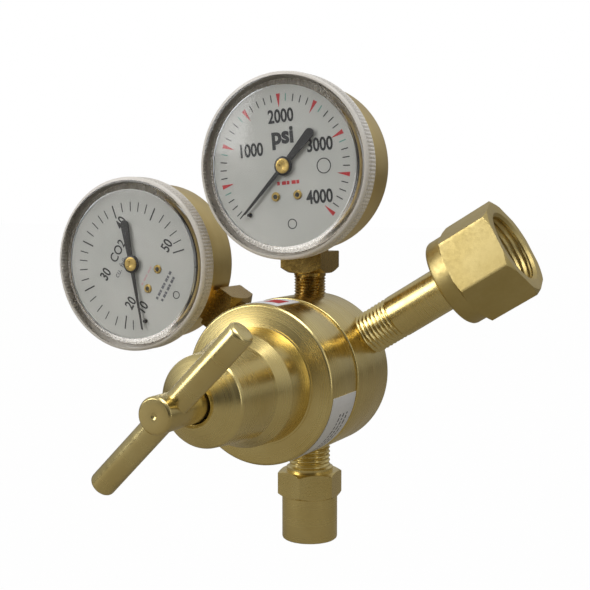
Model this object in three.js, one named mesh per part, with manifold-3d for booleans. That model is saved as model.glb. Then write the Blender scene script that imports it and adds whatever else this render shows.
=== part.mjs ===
// Carbon dioxide regulator with a tank pressure gauge and a flow gauge.
// Millimetres, +Z up, with the adjusting screw towards -Y.
// The pieces are placed from the point where the body's axis meets the plane of its ports,
// and the whole is then shifted so that the seat of the inlet washer is the origin.
import * as THREE from "three";
import { mergeVertices } from "three/addons/utils/BufferGeometryUtils.js";
import Module from "manifold-3d";

const wasm = await Module();
wasm.setup();

// ---- driving dimensions ----

const gap = 0.3; // left between pieces that touch
const fine = 36; // facets round a large diameter
const coarse = 18; // facets round a small one

const bodyRadius = 24.96;
const bodyShoulder = -17.5; // the bonnet screws down to here
const bodyBack = 9;
const bodyBackChamfer = 2.9;

const spigotRadius = 21; // threaded neck inside the bonnet
const spigotFront = -28;
const chamberRadius = 4.6; // full tank pressure
const chamberBack = 3;
const nozzleRadius = 6;
const recessRadius = 16; // reduced pressure, under the diaphragm
const recessDepth = 4;

const bonnetRadius = 24.48;
const bonnetFace = -35.9;
const bossRadius = 17.5; // stepped, then coned down to the barrel
const bossFrontRadius = 17;
const bossFront = -46.6;
const barrelRadius = 14.5;
const barrelStart = -50.9;
const noseRadius = 13.1;
const noseStart = -67.8;
const noseTip = -73;

const portBottom = 13; // how far from the body's axis each port is bored
const inletAngle = 31.5; // degrees from +X towards +Z, like the next three
const outletAngle = -90;
const tankGaugeAngle = 90;
const flowGaugeAngle = 149;

const nippleRadius = 6.9;
const nippleBore = 3.2;
const nippleEnd = 66; // distances along the inlet from the body's axis
const washerFace = 67.7;
const nutRadius = 16.5;
const nutMouthRadius = 10.7;
const nutCollarRadius = 14.2;
const nutStart = 56.5;
const nutHexStart = 62.15;
const nutEnd = 79.7;
const nutTurn = 17.7; // how far the free nut has come to rest round its axis

const outletHexRadius = 10.8;
const outletHexStart = 33.2;
const outletSleeveStart = 41.6;
const outletEnd = 55.9;
const outletSleeveRadius = 9.07;
const outletBore = 7.2;
const outletTurn = -6.5;

const screwRadius = 5.1;
const screwFront = -91.9;
const screwShoulder = -72.6;
const screwThreadRadius = 4.7;
const screwTip = -59.3;
const screwTravel = 4.8; // three turns of a sixteen to the inch thread
const barRadius = 3.69;
const barHalfLength = 31.6;
const barPlace = -84.6;
const barAngle = 49.3;

const springWire = 1.35; // radius
const springCoil = 9.6; // mean radius
const springTurns = 5.5;

const stemRadius = 5.15;
const socketStart = 31.8;
const socketSide = 14.3;
const caseRadius = 26.5;
const caseWall = 0.9;
const caseBack = 4;
const caseCorner = 3;
const caseRim = -16.9;
const lensRadius = 28.9;
const lensFront = -20.6;
const lensBack = -14.45;
const lensWindow = -19.4; // its inner face
const dialRadius = 25.2;
const dialFront = -17.9;
const dialThickness = 0.6;
const dialScrewX = 3.8;
const dialScrewZ = -9.2;

const gearModule = 0.3;
const pinionTeeth = 10;
const sectorTeeth = 80; // of a full wheel
const pointerSweep = 268;
const tailLength = 5; // from the sector's pivot to the link
const tubeRadius = 19.5; // mean radius of the curved pressure tube

// ---- helpers ----

const yAxis = new THREE.Vector3(0, 1, 0);
const radians = THREE.MathUtils.degToRad;

function outwards(angle) {
  return new THREE.Vector3(Math.cos(radians(angle)), 0, Math.sin(radians(angle)));
}

// A solid turned about Y from pairs of radius and y. An outline off the axis closes on itself.
function turned(outline, facets = fine) {
  const points = outline.map(([radius, y]) => new THREE.Vector2(radius, y));
  if (points[0].x > 0) {
    points.push(points[0].clone());
  }
  if (THREE.ShapeUtils.area(points) < 0) {
    points.reverse();
  }
  return new THREE.LatheGeometry(points, facets);
}

function cylinder(radius, from, to, facets = coarse) {
  return turned([[0, from], [radius, from], [radius, to], [0, to]], facets);
}

// Turns a geometry made along +Y to run along a direction, from a point.
function along(geometry, direction, start = new THREE.Vector3()) {
  const turn = new THREE.Quaternion().setFromUnitVectors(yAxis, direction);
  return geometry.applyQuaternion(turn).translate(start.x, start.y, start.z);
}

// A shape drawn in X and Z, as thick as from its front to its back along Y.
function plate(shape, front, back, curveSegments = 6) {
  const options = { depth: back - front, bevelEnabled: false, curveSegments };
  const geometry = new THREE.ExtrudeGeometry(shape, options);
  return geometry.rotateX(Math.PI / 2).translate(0, back, 0);
}

function box(x, y, z) {
  const geometry = new THREE.BoxGeometry(x[1] - x[0], y[1] - y[0], z[1] - z[0]);
  return geometry.translate((x[0] + x[1]) / 2, (y[0] + y[1]) / 2, (z[0] + z[1]) / 2);
}

function roundedRectangle(left, right, low, high, radius) {
  const shape = new THREE.Shape();
  shape.absarc(right - radius, high - radius, radius, 0, Math.PI / 2);
  shape.absarc(left + radius, high - radius, radius, Math.PI / 2, Math.PI);
  shape.absarc(left + radius, low + radius, radius, Math.PI, Math.PI * 1.5);
  shape.absarc(right - radius, low + radius, radius, Math.PI * 1.5, Math.PI * 2);
  return shape;
}

function circle(radius, x = 0, z = 0, sides = 10) {
  const points = Array.from({ length: sides }, (_, i) => {
    const angle = (2 * Math.PI * i) / sides;
    return new THREE.Vector2(x + radius * Math.cos(angle), z + radius * Math.sin(angle));
  });
  return new THREE.Shape(points);
}

function sweep(path, shape, steps) {
  const options = { steps, extrudePath: path, bevelEnabled: false, curveSegments: 4 };
  return new THREE.ExtrudeGeometry(shape, options);
}

function solid(geometry) {
  const bare = geometry.clone();
  bare.deleteAttribute("normal");
  bare.deleteAttribute("uv");
  const merged = mergeVertices(bare, 1e-4);
  const mesh = new wasm.Mesh({
    numProp: 3,
    vertProperties: merged.attributes.position.array,
    triVerts: new Uint32Array(merged.index.array),
  });
  return new wasm.Manifold(mesh);
}

function geometryOf(manifold) {
  const mesh = manifold.getMesh();
  const geometry = new THREE.BufferGeometry();
  geometry.setAttribute("position", new THREE.BufferAttribute(mesh.vertProperties, 3));
  geometry.setIndex(new THREE.BufferAttribute(mesh.triVerts, 1));
  return geometry;
}

function joined(...geometries) {
  return geometryOf(geometries.map(solid).reduce((whole, next) => whole.add(next)));
}

function cut(geometry, ...tools) {
  return geometryOf(tools.map(solid).reduce((whole, tool) => whole.subtract(tool), solid(geometry)));
}

function common(first, second) {
  return geometryOf(solid(first).intersect(solid(second)));
}

// Points of an arc in radius and y, for a rounded edge between two faces.
function arc(radius, centreRadius, centreY, from, to, steps = 2) {
  return Array.from({ length: steps + 1 }, (_, i) => {
    const angle = radians(from + ((to - from) * i) / steps);
    return [centreRadius + radius * Math.cos(angle), centreY + radius * Math.sin(angle)];
  });
}

class Arc extends THREE.Curve {
  constructor(radius, y, from, to) {
    super();
    Object.assign(this, { radius, y, from, to });
  }
  getPoint(t) {
    const angle = radians(this.from + (this.to - this.from) * t);
    return new THREE.Vector3(this.radius * Math.cos(angle), this.y, this.radius * Math.sin(angle));
  }
}

class Helix extends THREE.Curve {
  constructor(radius, turns, from, to) {
    super();
    Object.assign(this, { radius, turns, from, to });
  }
  getPoint(t) {
    const angle = 2 * Math.PI * this.turns * t;
    const y = this.from + (this.to - this.from) * t;
    return new THREE.Vector3(this.radius * Math.cos(angle), y, this.radius * Math.sin(angle));
  }
}

const materials = {
  brass: { color: 0xc9a45c, metalness: 0.9, roughness: 0.35 },
  darkBrass: { color: 0xa98b45, metalness: 0.9, roughness: 0.4 },
  steel: { color: 0xb8bcc0, metalness: 0.9, roughness: 0.35 },
  rubber: { color: 0x2b2b2c, metalness: 0, roughness: 0.8 },
  nylon: { color: 0xe8e6df, metalness: 0, roughness: 0.6 },
  sticker: { color: 0xf2f2f0, metalness: 0, roughness: 0.5 },
  clear: { color: 0xdfe6ea, metalness: 0, roughness: 0.1, transparent: true, opacity: 0.35 },
  dial: { color: 0xf4f4ef, metalness: 0, roughness: 0.5 },
  black: { color: 0x111111, metalness: 0, roughness: 0.5 },
};

function piece(name, material, geometry) {
  const mesh = new THREE.Mesh(geometry, new THREE.MeshStandardMaterial(materials[material]));
  mesh.name = name;
  return mesh;
}

// ---- body ----

function portTool(angle, radius, passage) {
  const bore = cylinder(radius, portBottom, bodyRadius + 2);
  const drilling = cylinder(passage, chamberRadius - 1, portBottom + 1, 12);
  return along(passage ? joined(bore, drilling) : bore, outwards(angle));
}

// A drilling from the recess under the diaphragm back to a port.
function reducedPassage(angle) {
  const place = outwards(angle).multiplyScalar(recessRadius - 2);
  return cylinder(1.5, spigotFront + recessDepth - 1, 0, 12).translate(place.x, 0, place.z);
}

function body() {
  const outside = turned([
    [0, spigotFront],
    [spigotRadius - 0.8, spigotFront],
    [spigotRadius, spigotFront + 0.8],
    [spigotRadius, bodyShoulder],
    [bodyRadius - 0.6, bodyShoulder],
    [bodyRadius, bodyShoulder + 0.6],
    [bodyRadius, bodyBack - bodyBackChamfer],
    [bodyRadius - bodyBackChamfer, bodyBack],
    [0, bodyBack],
  ]);
  const recessFloor = spigotFront + recessDepth;
  const nozzleSeat = recessFloor + 12;
  const inside = turned([
    [0, spigotFront - 1],
    [recessRadius, spigotFront - 1],
    [recessRadius, recessFloor],
    [nozzleRadius + gap, recessFloor],
    [nozzleRadius + gap, nozzleSeat],
    [chamberRadius, nozzleSeat],
    [chamberRadius, chamberBack],
    [0, chamberBack + 1.5],
  ], 24);
  return cut(
    outside,
    inside,
    portTool(inletAngle, nippleRadius + 0.2, 2),
    portTool(tankGaugeAngle, stemRadius + 0.25, 1.2),
    portTool(flowGaugeAngle, stemRadius + 0.25, 0),
    portTool(outletAngle, nippleRadius + 0.2, 0),
    reducedPassage(flowGaugeAngle),
    reducedPassage(outletAngle),
  );
}

// ---- bonnet, screw and spring ----

const diaphragmBack = spigotFront - gap;
const diaphragmFront = diaphragmBack - 0.8;
const slipRingBack = diaphragmFront - gap;
const slipRingFront = slipRingBack - 0.8;
const plateBack = diaphragmFront - gap;
const plateFront = plateBack - 2;
const cavityRadius = 14;
const throatRadius = springCoil + springWire + 0.65;
const cavityFloor = noseStart + 7.8;
const buttonBack = screwTip + 2.6;

function bonnet() {
  const clampFace = slipRingFront - gap;
  const counterbore = noseTip + screwTravel + 0.8;
  const tappedRadius = screwThreadRadius + gap;
  return turned([
    [spigotRadius + gap, bodyShoulder - gap],
    [bonnetRadius - 0.4, bodyShoulder - gap],
    [bonnetRadius, bodyShoulder - gap - 0.4],
    [bonnetRadius, bonnetFace + 0.6],
    [bonnetRadius - 0.6, bonnetFace],
    [bossRadius + 0.6, bonnetFace],
    [bossRadius + 0.6, bonnetFace - 0.3],
    [bossRadius, bonnetFace - 0.3],
    [bossFrontRadius, bossFront],
    [barrelRadius, barrelStart],
    [noseRadius, noseStart],
    [noseRadius - 0.5, noseStart - 0.8],
    [screwRadius + 1.6, noseTip],
    [screwRadius + 0.4, noseTip],
    [screwRadius + 0.4, counterbore],
    [tappedRadius, counterbore + 0.4],
    [tappedRadius, cavityFloor],
    [throatRadius, cavityFloor],
    [throatRadius, barrelStart],
    [cavityRadius, bossFront],
    [cavityRadius, clampFace],
    [spigotRadius + gap, clampFace],
  ]);
}

function adjustingScrew() {
  const shank = turned([
    [0, screwFront + 0.7],
    [0.9, screwFront],
    [screwRadius - 0.6, screwFront],
    [screwRadius, screwFront + 0.6],
    [screwRadius, screwShoulder],
    [screwThreadRadius, screwShoulder + 0.4],
    [screwThreadRadius, screwTip - 1.2],
    [screwThreadRadius - 1.4, screwTip],
    [0, screwTip],
  ], 28);
  const crossHole = cylinder(barRadius + 0.15, -2 * screwRadius, 2 * screwRadius);
  return cut(shank, along(crossHole, outwards(barAngle)).translate(0, barPlace, 0));
}

function tBar() {
  const rounding = 1.4;
  const bar = turned([
    [0, -barHalfLength],
    ...arc(rounding, barRadius - rounding, rounding - barHalfLength, -90, 0),
    ...arc(rounding, barRadius - rounding, barHalfLength - rounding, 0, 90),
    [0, barHalfLength],
  ], coarse);
  return along(bar, outwards(barAngle)).translate(0, barPlace, 0);
}

function springButton() {
  const inside = springCoil - springWire - 0.5;
  return turned([
    [0, screwTip + gap],
    [springCoil + springWire, screwTip + gap],
    [springCoil + springWire, buttonBack],
    [inside, buttonBack],
    [inside - 0.6, buttonBack + 3],
    [0, buttonBack + 3],
  ], 28);
}

function rangeSpring() {
  const path = new Helix(springCoil, springTurns, buttonBack + springWire + gap, plateFront - springWire - gap);
  return sweep(path, circle(springWire, 0, 0, 6), Math.round(springTurns * 11));
}

function diaphragmPlate() {
  const inside = springCoil - springWire - 0.5;
  return turned([
    [0, plateBack],
    [12.4, plateBack],
    [12.4, plateFront],
    [inside, plateFront],
    [inside - 0.6, plateFront - 3],
    [0, plateFront - 3],
  ], 28);
}

// A thin disc with one rolled ring that lets its middle move.
function diaphragm() {
  const rise = 0.6;
  return turned([
    [0, diaphragmFront],
    [12.8, diaphragmFront],
    [13.7, diaphragmFront + rise],
    [14.3, diaphragmFront + rise],
    [15.2, diaphragmFront],
    [spigotRadius - 0.2, diaphragmFront],
    [spigotRadius - 0.2, diaphragmBack],
    [15.5, diaphragmBack],
    [14.7, diaphragmBack + rise],
    [13.3, diaphragmBack + rise],
    [12.5, diaphragmBack],
    [0, diaphragmBack],
  ], 28);
}

function slipRing() {
  return turned([
    [16.5, slipRingFront],
    [spigotRadius - 0.2, slipRingFront],
    [spigotRadius - 0.2, slipRingBack],
    [16.5, slipRingBack],
  ], 28);
}

// ---- valve ----

const nozzleFlangeBack = spigotFront + recessDepth - gap;
const nozzleFront = nozzleFlangeBack - 1.9;
const nozzleBack = spigotFront + recessDepth + 11.8;
const valveHeadFront = nozzleBack + gap;

function seatNozzle() {
  const flange = turned([
    [1.6, nozzleFront],
    [7.8, nozzleFront],
    [7.8, nozzleFlangeBack],
    [1.6, nozzleFlangeBack],
  ], 6);
  const barrel = turned([
    [1.5, nozzleFront],
    [nozzleRadius, nozzleFront],
    [nozzleRadius, nozzleBack - 2],
    [nozzleRadius - 2.4, nozzleBack],
    [2, nozzleBack],
    [1.5, nozzleBack - 0.5],
  ], coarse);
  const way = cylinder(1.5, nozzleFront - 1, nozzleFlangeBack + 1, coarse);
  return cut(joined(flange, barrel), way);
}

function valveStem() {
  return turned([
    [0, spigotFront],
    [2.2, spigotFront],
    [2.2, spigotFront + 0.8],
    [1, spigotFront + 1],
    [1, valveHeadFront],
    [3.2, valveHeadFront],
    [3.2, valveHeadFront + 3.4],
    [1.6, valveHeadFront + 3.4],
    [1.6, valveHeadFront + 5.4],
    [0, valveHeadFront + 5.4],
  ], coarse);
}

function poppetSpring() {
  const wire = 0.4;
  const path = new Helix(2.6, 5, valveHeadFront + 3.4 + wire + gap, chamberBack - wire - gap);
  return sweep(path, circle(wire, 0, 0, 5), 40);
}

// ---- inlet ----

function inletNipple() {
  const flangeRadius = nutMouthRadius - 0.5;
  const flangeStart = nutHexStart - 0.15;
  return turned([
    [nippleBore, portBottom + 0.5],
    [nippleRadius - 0.6, portBottom + 0.5],
    [nippleRadius, portBottom + 1.6],
    [nippleRadius, flangeStart],
    [flangeRadius, flangeStart],
    [flangeRadius, nippleEnd - 0.5],
    [flangeRadius - 0.5, nippleEnd],
    [nippleBore, nippleEnd],
  ], 28);
}

function inletFilter() {
  const start = nippleEnd - 6.5;
  return turned([
    [0, start],
    [1.8, start + 0.4],
    [nippleBore - 0.2, start + 2],
    [nippleBore - 0.2, nippleEnd - 0.5],
    [0, nippleEnd - 0.5],
  ], coarse);
}

function inletWasher() {
  return turned([
    [nippleBore + 0.6, nippleEnd + gap],
    [nutMouthRadius - 1, nippleEnd + gap],
    [nutMouthRadius - 1, washerFace],
    [nippleBore + 0.6, washerFace],
  ], 28);
}

function inletNut() {
  const chamfer = 0.9;
  const flatRadius = nutRadius * Math.cos(Math.PI / 6);
  const hexagon = cylinder(nutRadius, nutHexStart, nutEnd, 6).rotateY(radians(nutTurn));
  const chamfered = turned([
    [0, nutHexStart],
    [flatRadius + 0.6, nutHexStart],
    [nutRadius + 0.1, nutHexStart + chamfer],
    [nutRadius + 0.1, nutEnd - chamfer],
    [flatRadius + 0.6, nutEnd],
    [0, nutEnd],
  ], fine);
  const collar = turned([
    [0, nutStart],
    [nutCollarRadius - 0.9, nutStart],
    [nutCollarRadius, nutStart + 0.9],
    [nutCollarRadius, nutHexStart + 0.5],
    [0, nutHexStart + 0.5],
  ], fine);
  const inside = turned([
    [0, nutStart - 1],
    [nippleRadius + 0.5, nutStart - 1],
    [nippleRadius + 0.5, nutHexStart - 0.45],
    [nutMouthRadius, nutHexStart - 0.45],
    [nutMouthRadius, nutEnd - 0.8],
    [nutMouthRadius + 0.9, nutEnd + 0.1],
    [0, nutEnd + 0.1],
  ], 28);
  return cut(joined(common(hexagon, chamfered), collar), inside);
}

// ---- outlet ----

function outletFitting() {
  const neckRadius = 6.7;
  const hexagon = cylinder(outletHexRadius, outletHexStart, outletSleeveStart, 6);
  const flatRadius = outletHexRadius * Math.cos(Math.PI / 6);
  const chamfered = turned([
    [0, outletHexStart],
    [flatRadius, outletHexStart],
    [outletHexRadius + 0.1, outletHexStart + 0.8],
    [outletHexRadius + 0.1, outletSleeveStart - 0.8],
    [flatRadius, outletSleeveStart],
    [0, outletSleeveStart],
  ], 28);
  const barrel = turned([
    [0, portBottom + 0.5],
    [neckRadius, portBottom + 0.5],
    [neckRadius, outletHexStart - 1.6],
    [neckRadius + 0.9, outletHexStart - 1.2],
    [neckRadius + 0.9, outletHexStart + 1],
    [outletSleeveRadius, outletHexStart + 1],
    [outletSleeveRadius, outletEnd - 0.6],
    [outletSleeveRadius - 0.6, outletEnd],
    [0, outletEnd],
  ], 28);
  const inside = turned([
    [0, portBottom],
    [2.5, portBottom],
    [2.5, outletSleeveStart - 1],
    [outletBore, outletSleeveStart + 2.4],
    [outletBore, outletEnd - 0.6],
    [outletBore + 0.5, outletEnd + 0.1],
    [0, outletEnd + 0.1],
  ], coarse);
  return cut(joined(common(hexagon.rotateY(radians(outletTurn)), chamfered), barrel), inside);
}

// A plug with one small hole that meters the flow.
function outletOrifice() {
  return turned([
    [0.6, outletHexStart],
    [2.3, outletHexStart],
    [2.3, outletHexStart + 5],
    [1.2, outletHexStart + 5],
    [0.6, outletHexStart + 4],
  ], 12);
}

// ---- stickers ----

// A thin patch on the bonnet's cylinder, between two angles and two places along Y.
function sticker(from, to, front, back) {
  const inner = bonnetRadius + 0.05;
  const outer = inner + 0.12;
  const shape = new THREE.Shape();
  shape.absarc(0, 0, outer, radians(from), radians(to), false);
  shape.absarc(0, 0, inner, radians(to), radians(from), true);
  return plate(shape, front, back, 8);
}

// ---- gauge, in its own frame: dial towards -Y, stem down along -Z, pointer's axis on Y ----

const sectorPivot = gearModule * (pinionTeeth + sectorTeeth) / 2;
const sectorSwing = (pointerSweep * pinionTeeth) / sectorTeeth;
const basePlateBack = -7.3;
const topPlateFront = -13;
const plateThickness = 0.8;
const tubePinAngle = -26; // degrees from +X, where the curved tube ends
const tubePinRadius = 18;

function gaugeCase() {
  const cup = turned([
    [0, caseBack],
    ...arc(caseCorner, caseRadius - caseCorner, caseBack - caseCorner, 90, 0),
    [caseRadius, caseRim],
    [caseRadius - caseWall, caseRim],
    ...arc(caseCorner - caseWall, caseRadius - caseCorner, caseBack - caseCorner, 0, 90),
    [0, caseBack - caseWall],
  ]);
  const notch = box([-5.9, 5.9], [-7.4, 2.8], [-caseRadius - 2, 3 - caseRadius]);
  return cut(cup, notch);
}

function gaugeSocket(reach) {
  const bottom = socketStart - reach;
  const top = -caseRadius - 0.4;
  const half = socketSide / 2;
  const square = new THREE.ExtrudeGeometry(roundedRectangle(-half, half, -half, half, 0.7), {
    depth: top - bottom,
    bevelEnabled: false,
    curveSegments: 2,
  }).translate(0, 0, bottom);
  const upwards = new THREE.Vector3(0, 0, 1);
  const corners = turned([[0, bottom], [half + 1.2, bottom], [half + 3, bottom + 2], [half + 3, top], [0, top]], coarse);
  const block = common(square, along(corners, upwards));
  const stemEnd = portBottom + 0.6 - reach;
  const stem = turned([
    [0, stemEnd],
    [stemRadius - 0.7, stemEnd],
    [stemRadius, stemEnd + 1],
    [stemRadius, bottom + 0.5],
    [0, bottom + 0.5],
  ], coarse);
  const neck = box([-5.5, 5.5], [-7, 2.4], [top - 0.5, -11]);
  const bore = cylinder(1.3, stemEnd - 1, -14, 12);
  return cut(joined(block, along(stem, upwards), neck), along(bore, upwards));
}

function gaugeLens() {
  const edge = 0.9;
  const inner = caseRadius + gap;
  return turned([
    [0, lensFront + 0.4],
    [25, lensFront + 0.4],
    [25.6, lensFront],
    ...arc(edge, lensRadius - edge, lensFront + edge, -90, 0, 2),
    [lensRadius, lensBack],
    [inner, lensBack],
    [inner, lensWindow + 1.9],
    [24.9, lensWindow],
    [0, lensWindow],
  ]);
}

function rotate(x, z, degrees) {
  const angle = radians(degrees);
  return [x * Math.cos(angle) - z * Math.sin(angle), x * Math.sin(angle) + z * Math.cos(angle)];
}

function clockwise(radius, degrees) {
  return [radius * Math.sin(radians(degrees)), radius * Math.cos(radians(degrees))];
}

function gaugeDial(screws, pin) {
  const shape = circle(dialRadius, 0, 0, fine);
  shape.holes.push(circle(1.5), circle(0.8, ...pin));
  screws.forEach((screw) => shape.holes.push(circle(1.1, ...screw)));
  return plate(shape, dialFront, dialFront + dialThickness);
}

function dialScrew([x, z]) {
  const headBack = dialFront - 0.1;
  const screw = turned([
    [0, headBack - 0.35],
    [1.2, headBack - 0.35],
    [1.5, headBack - 0.1],
    [1.5, headBack],
    [0.8, headBack],
    [0.8, topPlateFront - 3.2],
    [0, topPlateFront - 3.2],
  ], 10);
  return screw.translate(x, 0, z);
}

function stopPin([x, z]) {
  return cylinder(0.5, lensWindow + 0.35, dialFront + 1.2, 10).translate(x, 0, z);
}

// One side of a straight-sided tooth profile round a wheel, from tooth to tooth.
function teeth(count, wheelTeeth, firstTooth) {
  const pitch = 360 / wheelTeeth;
  const pitchRadius = (gearModule * wheelTeeth) / 2;
  const root = pitchRadius - 1.1 * gearModule;
  const tip = pitchRadius + 0.8 * gearModule;
  return Array.from({ length: count }, (_, i) => {
    const centre = firstTooth + i * pitch;
    return [[root, -0.27], [tip, -0.13], [tip, 0.13], [root, 0.27]].map(([radius, side]) =>
      new THREE.Vector2(...clockwise(radius, centre + side * pitch)));
  }).flat();
}

// Blade, hub, shaft and pinion, pressed together.
function pointer(restAngle) {
  const bladeFront = -19.05;
  const bladeBack = -18.7;
  const [tip, hub, tail, tailRadius] = [20.3, 3, 14.8, 1.5];
  const blade = new THREE.Shape();
  blade.moveTo(-0.2, tip);
  blade.lineTo(-0.75, 0);
  blade.lineTo(-tailRadius, tailRadius - tail);
  blade.absarc(0, tailRadius - tail, tailRadius, Math.PI, 2 * Math.PI);
  blade.lineTo(0.75, 0);
  blade.lineTo(0.2, tip);
  const arrow = plate(blade, bladeFront, bladeBack).rotateY(radians(restAngle));
  const boss = turned([[0, -19.25], [hub - 0.8, -19.25], [hub, -19.05], [hub, -18.6], [0, -18.6]], coarse);
  const shaft = cylinder(0.6, -18.9, basePlateBack - 0.3, 12);
  const pinion = plate(new THREE.Shape(teeth(pinionTeeth, pinionTeeth, 180)), -10.6, -9);
  return joined(arrow, boss, shaft, pinion);
}

function sectorGear() {
  const pitch = 360 / sectorTeeth;
  const count = Math.ceil(sectorSwing / pitch) + 3;
  const rim = new THREE.Shape(teeth(count, sectorTeeth, -1.5 * pitch));
  const rimInside = (gearModule * sectorTeeth) / 2 - 2;
  for (let i = 6; i >= 0; i -= 1) {
    const angle = -2 * pitch + ((count + 1) * pitch * i) / 6;
    rim.lineTo(...clockwise(rimInside, angle));
  }
  const [front, back] = [-10.3, -9.3];
  const arm = box([-0.7, 0.7], [front, back], [-tailLength, rimInside + 0.8]);
  const tailEye = cylinder(1, front, back, 12).translate(0, 0, -tailLength);
  const tailPin = cylinder(0.45, -11.6, back - 0.2, 10).translate(0, 0, -tailLength);
  const hub = cylinder(1.6, front - 0.3, back + 0.3, 16);
  const pivot = cylinder(0.6, topPlateFront + 0.2, basePlateBack - 0.2, 12);
  const lever = joined(arm, tailEye, tailPin).rotateY(radians(sectorSwing / 2));
  return joined(plate(rim, front, back), lever, hub, pivot).translate(0, 0, -sectorPivot);
}

const tailPinPlace = clockwise(tailLength, 180 + sectorSwing / 2);
const linkStart = [tailPinPlace[0], tailPinPlace[1] - sectorPivot];
const linkEnd = clockwise(tubePinRadius, 90 - tubePinAngle);

function link() {
  const length = Math.hypot(linkEnd[0] - linkStart[0], linkEnd[1] - linkStart[1]);
  const direction = Math.atan2(linkEnd[1] - linkStart[1], linkEnd[0] - linkStart[0]);
  const strap = new THREE.Shape();
  strap.absarc(0, 0, 1.2, Math.PI / 6, 2 * Math.PI - Math.PI / 6);
  strap.absarc(length, 0, 1.2, Math.PI + Math.PI / 6, 3 * Math.PI - Math.PI / 6);
  strap.holes.push(circle(0.75), circle(0.75, length, 0));
  const geometry = plate(strap, -11.3, -10.75, 8).rotateY(-direction);
  return geometry.translate(linkStart[0], 0, linkStart[1]);
}

// Two plates on three pillars, with posts in front for the dial's screws.
function movementFrame(screws) {
  const pillars = [[-6.2, 1.5], [6.2, 1.5], [-6.2, -16.8]];
  const outline = () => {
    const shape = roundedRectangle(-8, 8, -18.6, 3.8, 2);
    shape.holes.push(circle(0.8), circle(0.8, 0, -sectorPivot));
    return shape;
  };
  const base = plate(outline(), basePlateBack - plateThickness, basePlateBack, 2);
  const top = plate(outline(), topPlateFront, topPlateFront + plateThickness, 2);
  const pillarSolids = pillars.map(([x, z]) =>
    cylinder(1.3, topPlateFront + 0.4, basePlateBack - 0.4, 8).translate(x, 0, z));
  const posts = screws.map(([x, z]) => turned([
    [1.1, dialFront + dialThickness + gap],
    [1.9, dialFront + dialThickness + gap],
    [1.9, topPlateFront + 0.4],
    [1.1, topPlateFront + 0.4],
  ], 12).translate(x, 0, z));
  const floors = screws.map(([x, z]) =>
    cylinder(1.5, topPlateFront - 0.6, topPlateFront + 0.4, 12).translate(x, 0, z));
  return joined(base, top, ...pillarSolids, ...posts, ...floors);
}

// The flattened tube that uncurls as its pressure rises, with a pin for the link at its end.
function bourdonTube() {
  const section = new THREE.Shape().absellipse(0, 0, 3.2, 0.9, 0, Math.PI * 2);
  const start = -90 - THREE.MathUtils.radToDeg(Math.asin(5.8 / tubeRadius));
  const middle = -3.2;
  const tube = sweep(new Arc(tubeRadius, middle, start, tubePinAngle - 357), section, 22);
  const endBlock = cylinder(2, -8.8, middle + 1, 12);
  const pin = cylinder(0.45, -11.7, middle, 10);
  const end = joined(endBlock, pin).translate(linkEnd[0], 0, linkEnd[1]);
  return joined(tube, end);
}

function gauge(name, { angle, reach, roll, rest, pinTurn }) {
  const screws = [-dialScrewX, dialScrewX].map((x) => rotate(x, dialScrewZ, roll));
  const pin = clockwise(tubeRadius, pinTurn - roll);
  const group = new THREE.Group();
  group.name = `${name}_gauge`;
  group.rotation.y = radians(90 - angle);
  group.position.copy(outwards(angle).multiplyScalar(reach));
  group.add(
    piece(`${name}_gauge_case`, "brass", gaugeCase()),
    piece(`${name}_gauge_socket`, "darkBrass", gaugeSocket(reach)),
    piece(`${name}_gauge_lens`, "clear", gaugeLens()),
    piece(`${name}_dial`, "dial", gaugeDial(screws, pin)),
    piece(`${name}_dial_screw_left`, "brass", dialScrew(screws[0])),
    piece(`${name}_dial_screw_right`, "brass", dialScrew(screws[1])),
    piece(`${name}_stop_pin`, "black", stopPin(pin)),
    piece(`${name}_pointer`, "black", pointer(rest - roll)),
    piece(`${name}_sector_gear`, "brass", sectorGear()),
    piece(`${name}_link`, "brass", link()),
    piece(`${name}_movement_frame`, "brass", movementFrame(screws)),
    piece(`${name}_bourdon_tube`, "darkBrass", bourdonTube()),
  );
  return group;
}

// ---- assembly ----

const inlet = outwards(inletAngle);
const outlet = outwards(outletAngle);

const regulator = new THREE.Group();
regulator.name = "regulator";
regulator.position.copy(inlet).multiplyScalar(-washerFace);
regulator.add(
  piece("body", "brass", body()),
  piece("bonnet", "brass", bonnet()),
  piece("adjusting_screw", "brass", adjustingScrew()),
  piece("t_bar", "brass", tBar()),
  piece("spring_button", "steel", springButton()),
  piece("range_spring", "steel", rangeSpring()),
  piece("diaphragm_plate", "steel", diaphragmPlate()),
  piece("diaphragm", "rubber", diaphragm()),
  piece("slip_ring", "brass", slipRing()),
  piece("seat_nozzle", "brass", seatNozzle()),
  piece("valve_stem", "steel", valveStem()),
  piece("poppet_spring", "steel", poppetSpring()),
  piece("inlet_nipple", "brass", along(inletNipple(), inlet)),
  piece("inlet_filter", "darkBrass", along(inletFilter(), inlet)),
  piece("inlet_washer", "nylon", along(inletWasher(), inlet)),
  piece("inlet_nut", "darkBrass", along(inletNut(), inlet)),
  piece("outlet_fitting", "brass", along(outletFitting(), outlet)),
  piece("outlet_orifice", "darkBrass", along(outletOrifice(), outlet)),
  piece("label_top", "sticker", sticker(76, 101, -34.6, -19.5)),
  piece("label_side", "sticker", sticker(-64, -6, -34.8, -18.4)),
  gauge("tank", { angle: tankGaugeAngle, reach: 65.66, roll: 5, rest: -133, pinTurn: -136.5 }),
  gauge("flow", { angle: flowGaugeAngle, reach: 66.08, roll: 0, rest: -132, pinTurn: -135.5 }),
);

const assembly = new THREE.Group();
assembly.name = "carbon_dioxide_regulator";
assembly.add(regulator);

export default assembly;
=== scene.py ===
"""A carbon dioxide regulator: turned brass body and bonnet, T-bar, two gauges, inlet nut and outlet.

Sizes are in millimetres from the axis of each piece, and heights run along that axis.
"""
import math

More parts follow.
